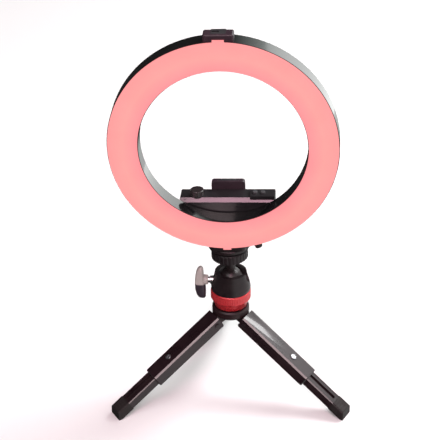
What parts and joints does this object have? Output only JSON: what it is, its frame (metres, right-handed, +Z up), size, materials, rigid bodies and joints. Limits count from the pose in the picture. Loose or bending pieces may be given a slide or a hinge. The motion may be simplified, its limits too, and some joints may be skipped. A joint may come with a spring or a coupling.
{
  "type": "ring light",
  "caption": "Ring lamp with a control box and cold shoes, on a ball head with a lock knob and a small tripod with folding, telescoping legs.",
  "frame": {"origin": "middle of the outline on the surface the feet stand on", "axes": "+Z up, -Y towards the lit face, +X to the right of someone facing the lit face"},
  "size_m": [0.2186, 0.1894, 0.3628],
  "materials": {
    "shell_black": "glossy moulded black ABS",
    "diffuser_lit": "frosted diffuser, lit pink",
    "board_white": "white solder mask",
    "led_yellow": "LED phosphor",
    "screw_steel": "blackened steel",
    "cap_black": "soft-touch shoe cap",
    "shoe_black": "black anodised aluminium",
    "box_black": "fine-textured black ABS",
    "board_green": "green solder mask",
    "chip_black": "epoxy",
    "button_grey": "dark silicone",
    "dimmer_black": "fluted black knob",
    "block_black": "satin black",
    "brass": "turned brass",
    "rubber_black": "moulded rubber",
    "ball_steel": "polished",
    "ball_black": "black-oxide steel, burnished ball",
    "anodised_black": "black anodised aluminium",
    "wheel_black": "fluted black anodised",
    "nylon_white": "natural nylon",
    "anodised_red": "red anodised aluminium",
    "grip_black": "moulded wing grip",
    "hub_black": "black die casting",
    "leg_black": "satin-gloss black nylon",
    "bar_black": "black anodised bar"
  },
  "bodies": {
    "hub": {"hub_body": "hub_black", "leg_pins": "ball_black", "hub_cap": "rubber_black", "pan_washer": "nylon_white", "pan_retainer": "screw_steel", "hub_bolt": "screw_steel"},
    "ball_housing": {"ball_housing": "anodised_black", "ball_cup": "nylon_white", "retainer_ring": "anodised_black", "red_collar": "anodised_red", "knob_bush": "ball_steel"},
    "lock_knob": {"knob_shaft": "ball_steel", "knob_grip": "grip_black"},
    "ball": {"ball_stem": "ball_black", "platform": "anodised_black", "platform_pad": "rubber_black"},
    "lock_wheel": {"lock_wheel": "wheel_black"},
    "light": {"rear_shell": "shell_black", "diffuser": "diffuser_lit", "led_board": "board_white", "led_chips": "led_yellow", "shell_screws": "screw_steel", "top_shoe": "shoe_black", "top_shoe_screws": "screw_steel", "bridge_box": "box_black", "bridge_cover": "box_black", "cover_screws": "screw_steel", "bridge_mount_screws": "screw_steel", "driver_board": "board_green", "driver_parts": "chip_black", "tact_switches": "chip_black", "dimmer_pot": "screw_steel", "rear_shoe": "shoe_black", "rear_shoe_screws": "screw_steel", "base_block": "block_black", "thread_insert": "brass", "base_screws": "screw_steel", "cable_gland": "rubber_black"},
    "dimmer": {"dimmer_shaft": "screw_steel", "dimmer_knob": "dimmer_black"},
    "power_button": {"power_button": "button_grey"},
    "mode_button": {"mode_button": "button_grey"},
    "top_cap": {"top_shoe_cap": "cap_black"},
    "rear_cap": {"rear_shoe_cap": "cap_black"},
    "leg_front_left": {"leg_tube_front_left": "leg_black", "guide_screw_front_left": "screw_steel"},
    "foot_front_left": {"leg_bar_front_left": "bar_black", "leg_boot_front_left": "rubber_black"},
    "leg_front_right": {"leg_tube_front_right": "leg_black", "guide_screw_front_right": "screw_steel"},
    "foot_front_right": {"leg_bar_front_right": "bar_black", "leg_boot_front_right": "rubber_black"},
    "leg_back": {"leg_tube_back": "leg_black", "guide_screw_back": "screw_steel"},
    "foot_back": {"leg_bar_back": "bar_black", "leg_boot_back": "rubber_black"}
  },
  "joints": [
    {"name": "head_pan", "type": "hinge", "parent": "hub", "child": "ball_housing", "pos_m": [0, -0.02732, 0.084], "axis": [0, 0, 1], "continuous": true},
    {"name": "head_tilt", "type": "hinge", "parent": "ball_housing", "child": "ball", "pos_m": [0, -0.02732, 0.112], "axis": [0.0732, 0.9973, 0], "range_deg": [-25, 80]},
    {"name": "light_turn", "type": "hinge", "parent": "ball", "child": "light", "pos_m": [-0.00165, -0.0272, 0.15146], "axis": [-0.0418, 0.0031, 0.9991], "range_deg": [-180, 180]},
    {"name": "lock_wheel_turn", "type": "hinge", "parent": "ball", "child": "lock_wheel", "pos_m": [-0.00114, -0.02723, 0.13928], "axis": [-0.0418, 0.0031, 0.9991], "range_deg": [-30, 360]},
    {"name": "lock_knob_turn", "type": "hinge", "parent": "ball_housing", "child": "lock_knob", "pos_m": [-0.01995, -0.02585, 0.109], "axis": [-0.9973, 0.0732, 0], "range_deg": [-30, 360]},
    {"name": "dimmer_turn", "type": "hinge", "parent": "light", "child": "dimmer", "pos_m": [-0.03012, -0.02059, 0.1957], "axis": [-0.0418, 0.0031, 0.9991], "range_deg": [-135, 135]},
    {"name": "power_button_press", "type": "slide", "parent": "light", "child": "power_button", "axis": [0.0418, -0.0031, -0.9991], "range_m": [0, 0.0008], "stiffness_N_per_m": 900, "springref_m": -0.0003},
    {"name": "mode_button_press", "type": "slide", "parent": "light", "child": "mode_button", "axis": [0.0418, -0.0031, -0.9991], "range_m": [0, 0.0008], "stiffness_N_per_m": 900, "springref_m": -0.0003},
    {"name": "top_cap_slide", "type": "slide", "parent": "light", "child": "top_cap", "axis": [0.0732, 0.9973, 0], "range_m": [0, 0.012]},
    {"name": "rear_cap_slide", "type": "slide", "parent": "light", "child": "rear_cap", "axis": [-0.0418, 0.0031, 0.9991], "range_m": [0, 0.024]},
    {"name": "leg_hinge_front_left", "type": "hinge", "parent": "hub", "child": "leg_front_left", "pos_m": [-0.01645, -0.03682, 0.0697], "axis": [0.5, -0.866, 0], "range_deg": [0, 54]},
    {"name": "leg_slide_front_left", "type": "slide", "parent": "leg_front_left", "child": "foot_front_left", "axis": [-0.7263, -0.4193, -0.5446], "range_m": [-0.03, 0]},
    {"name": "leg_hinge_front_right", "type": "hinge", "parent": "hub", "child": "leg_front_right", "pos_m": [0.01645, -0.03682, 0.0697], "axis": [0.5, 0.866, 0], "range_deg": [0, 54]},
    {"name": "leg_slide_front_right", "type": "slide", "parent": "leg_front_right", "child": "foot_front_right", "axis": [0.7263, -0.4193, -0.5446], "range_m": [-0.03, 0]},
    {"name": "leg_hinge_back", "type": "hinge", "parent": "hub", "child": "leg_back", "pos_m": [0, -0.00832, 0.0697], "axis": [-1, 0, 0], "range_deg": [0, 54]},
    {"name": "leg_slide_back", "type": "slide", "parent": "leg_back", "child": "foot_back", "axis": [0, 0.8387, -0.5446], "range_m": [-0.03, 0]}
  ]
}
